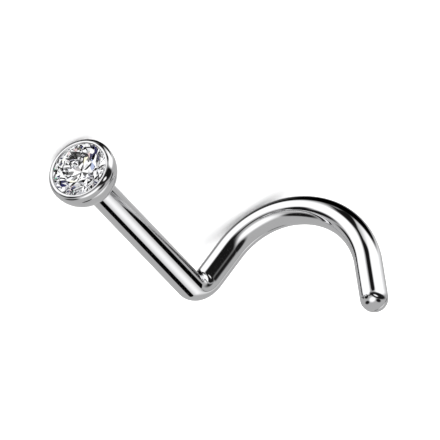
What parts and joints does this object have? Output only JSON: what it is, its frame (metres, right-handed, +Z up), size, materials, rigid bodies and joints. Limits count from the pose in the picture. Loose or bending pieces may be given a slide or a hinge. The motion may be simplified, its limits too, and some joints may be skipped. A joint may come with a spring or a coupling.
{
  "type": "nose stud",
  "caption": "Nose stud with a clear round stone in a ball setting, on a polished straight post bent into an open curl.",
  "frame": {"origin": "middle of the bounding box in X and Y, on the table that the stud lies on", "axes": "+Z up, the post lies along Y with the stone towards -Y, and the curl stands up from the table"},
  "size_m": [0.0062, 0.0084, 0.0052],
  "materials": {
    "metal": "mirror polished steel",
    "stone": "clear faceted brilliant"
  },
  "bodies": {
    "root": {"setting_and_wire": "metal", "stone": "stone"}
  },
  "joints": []
}
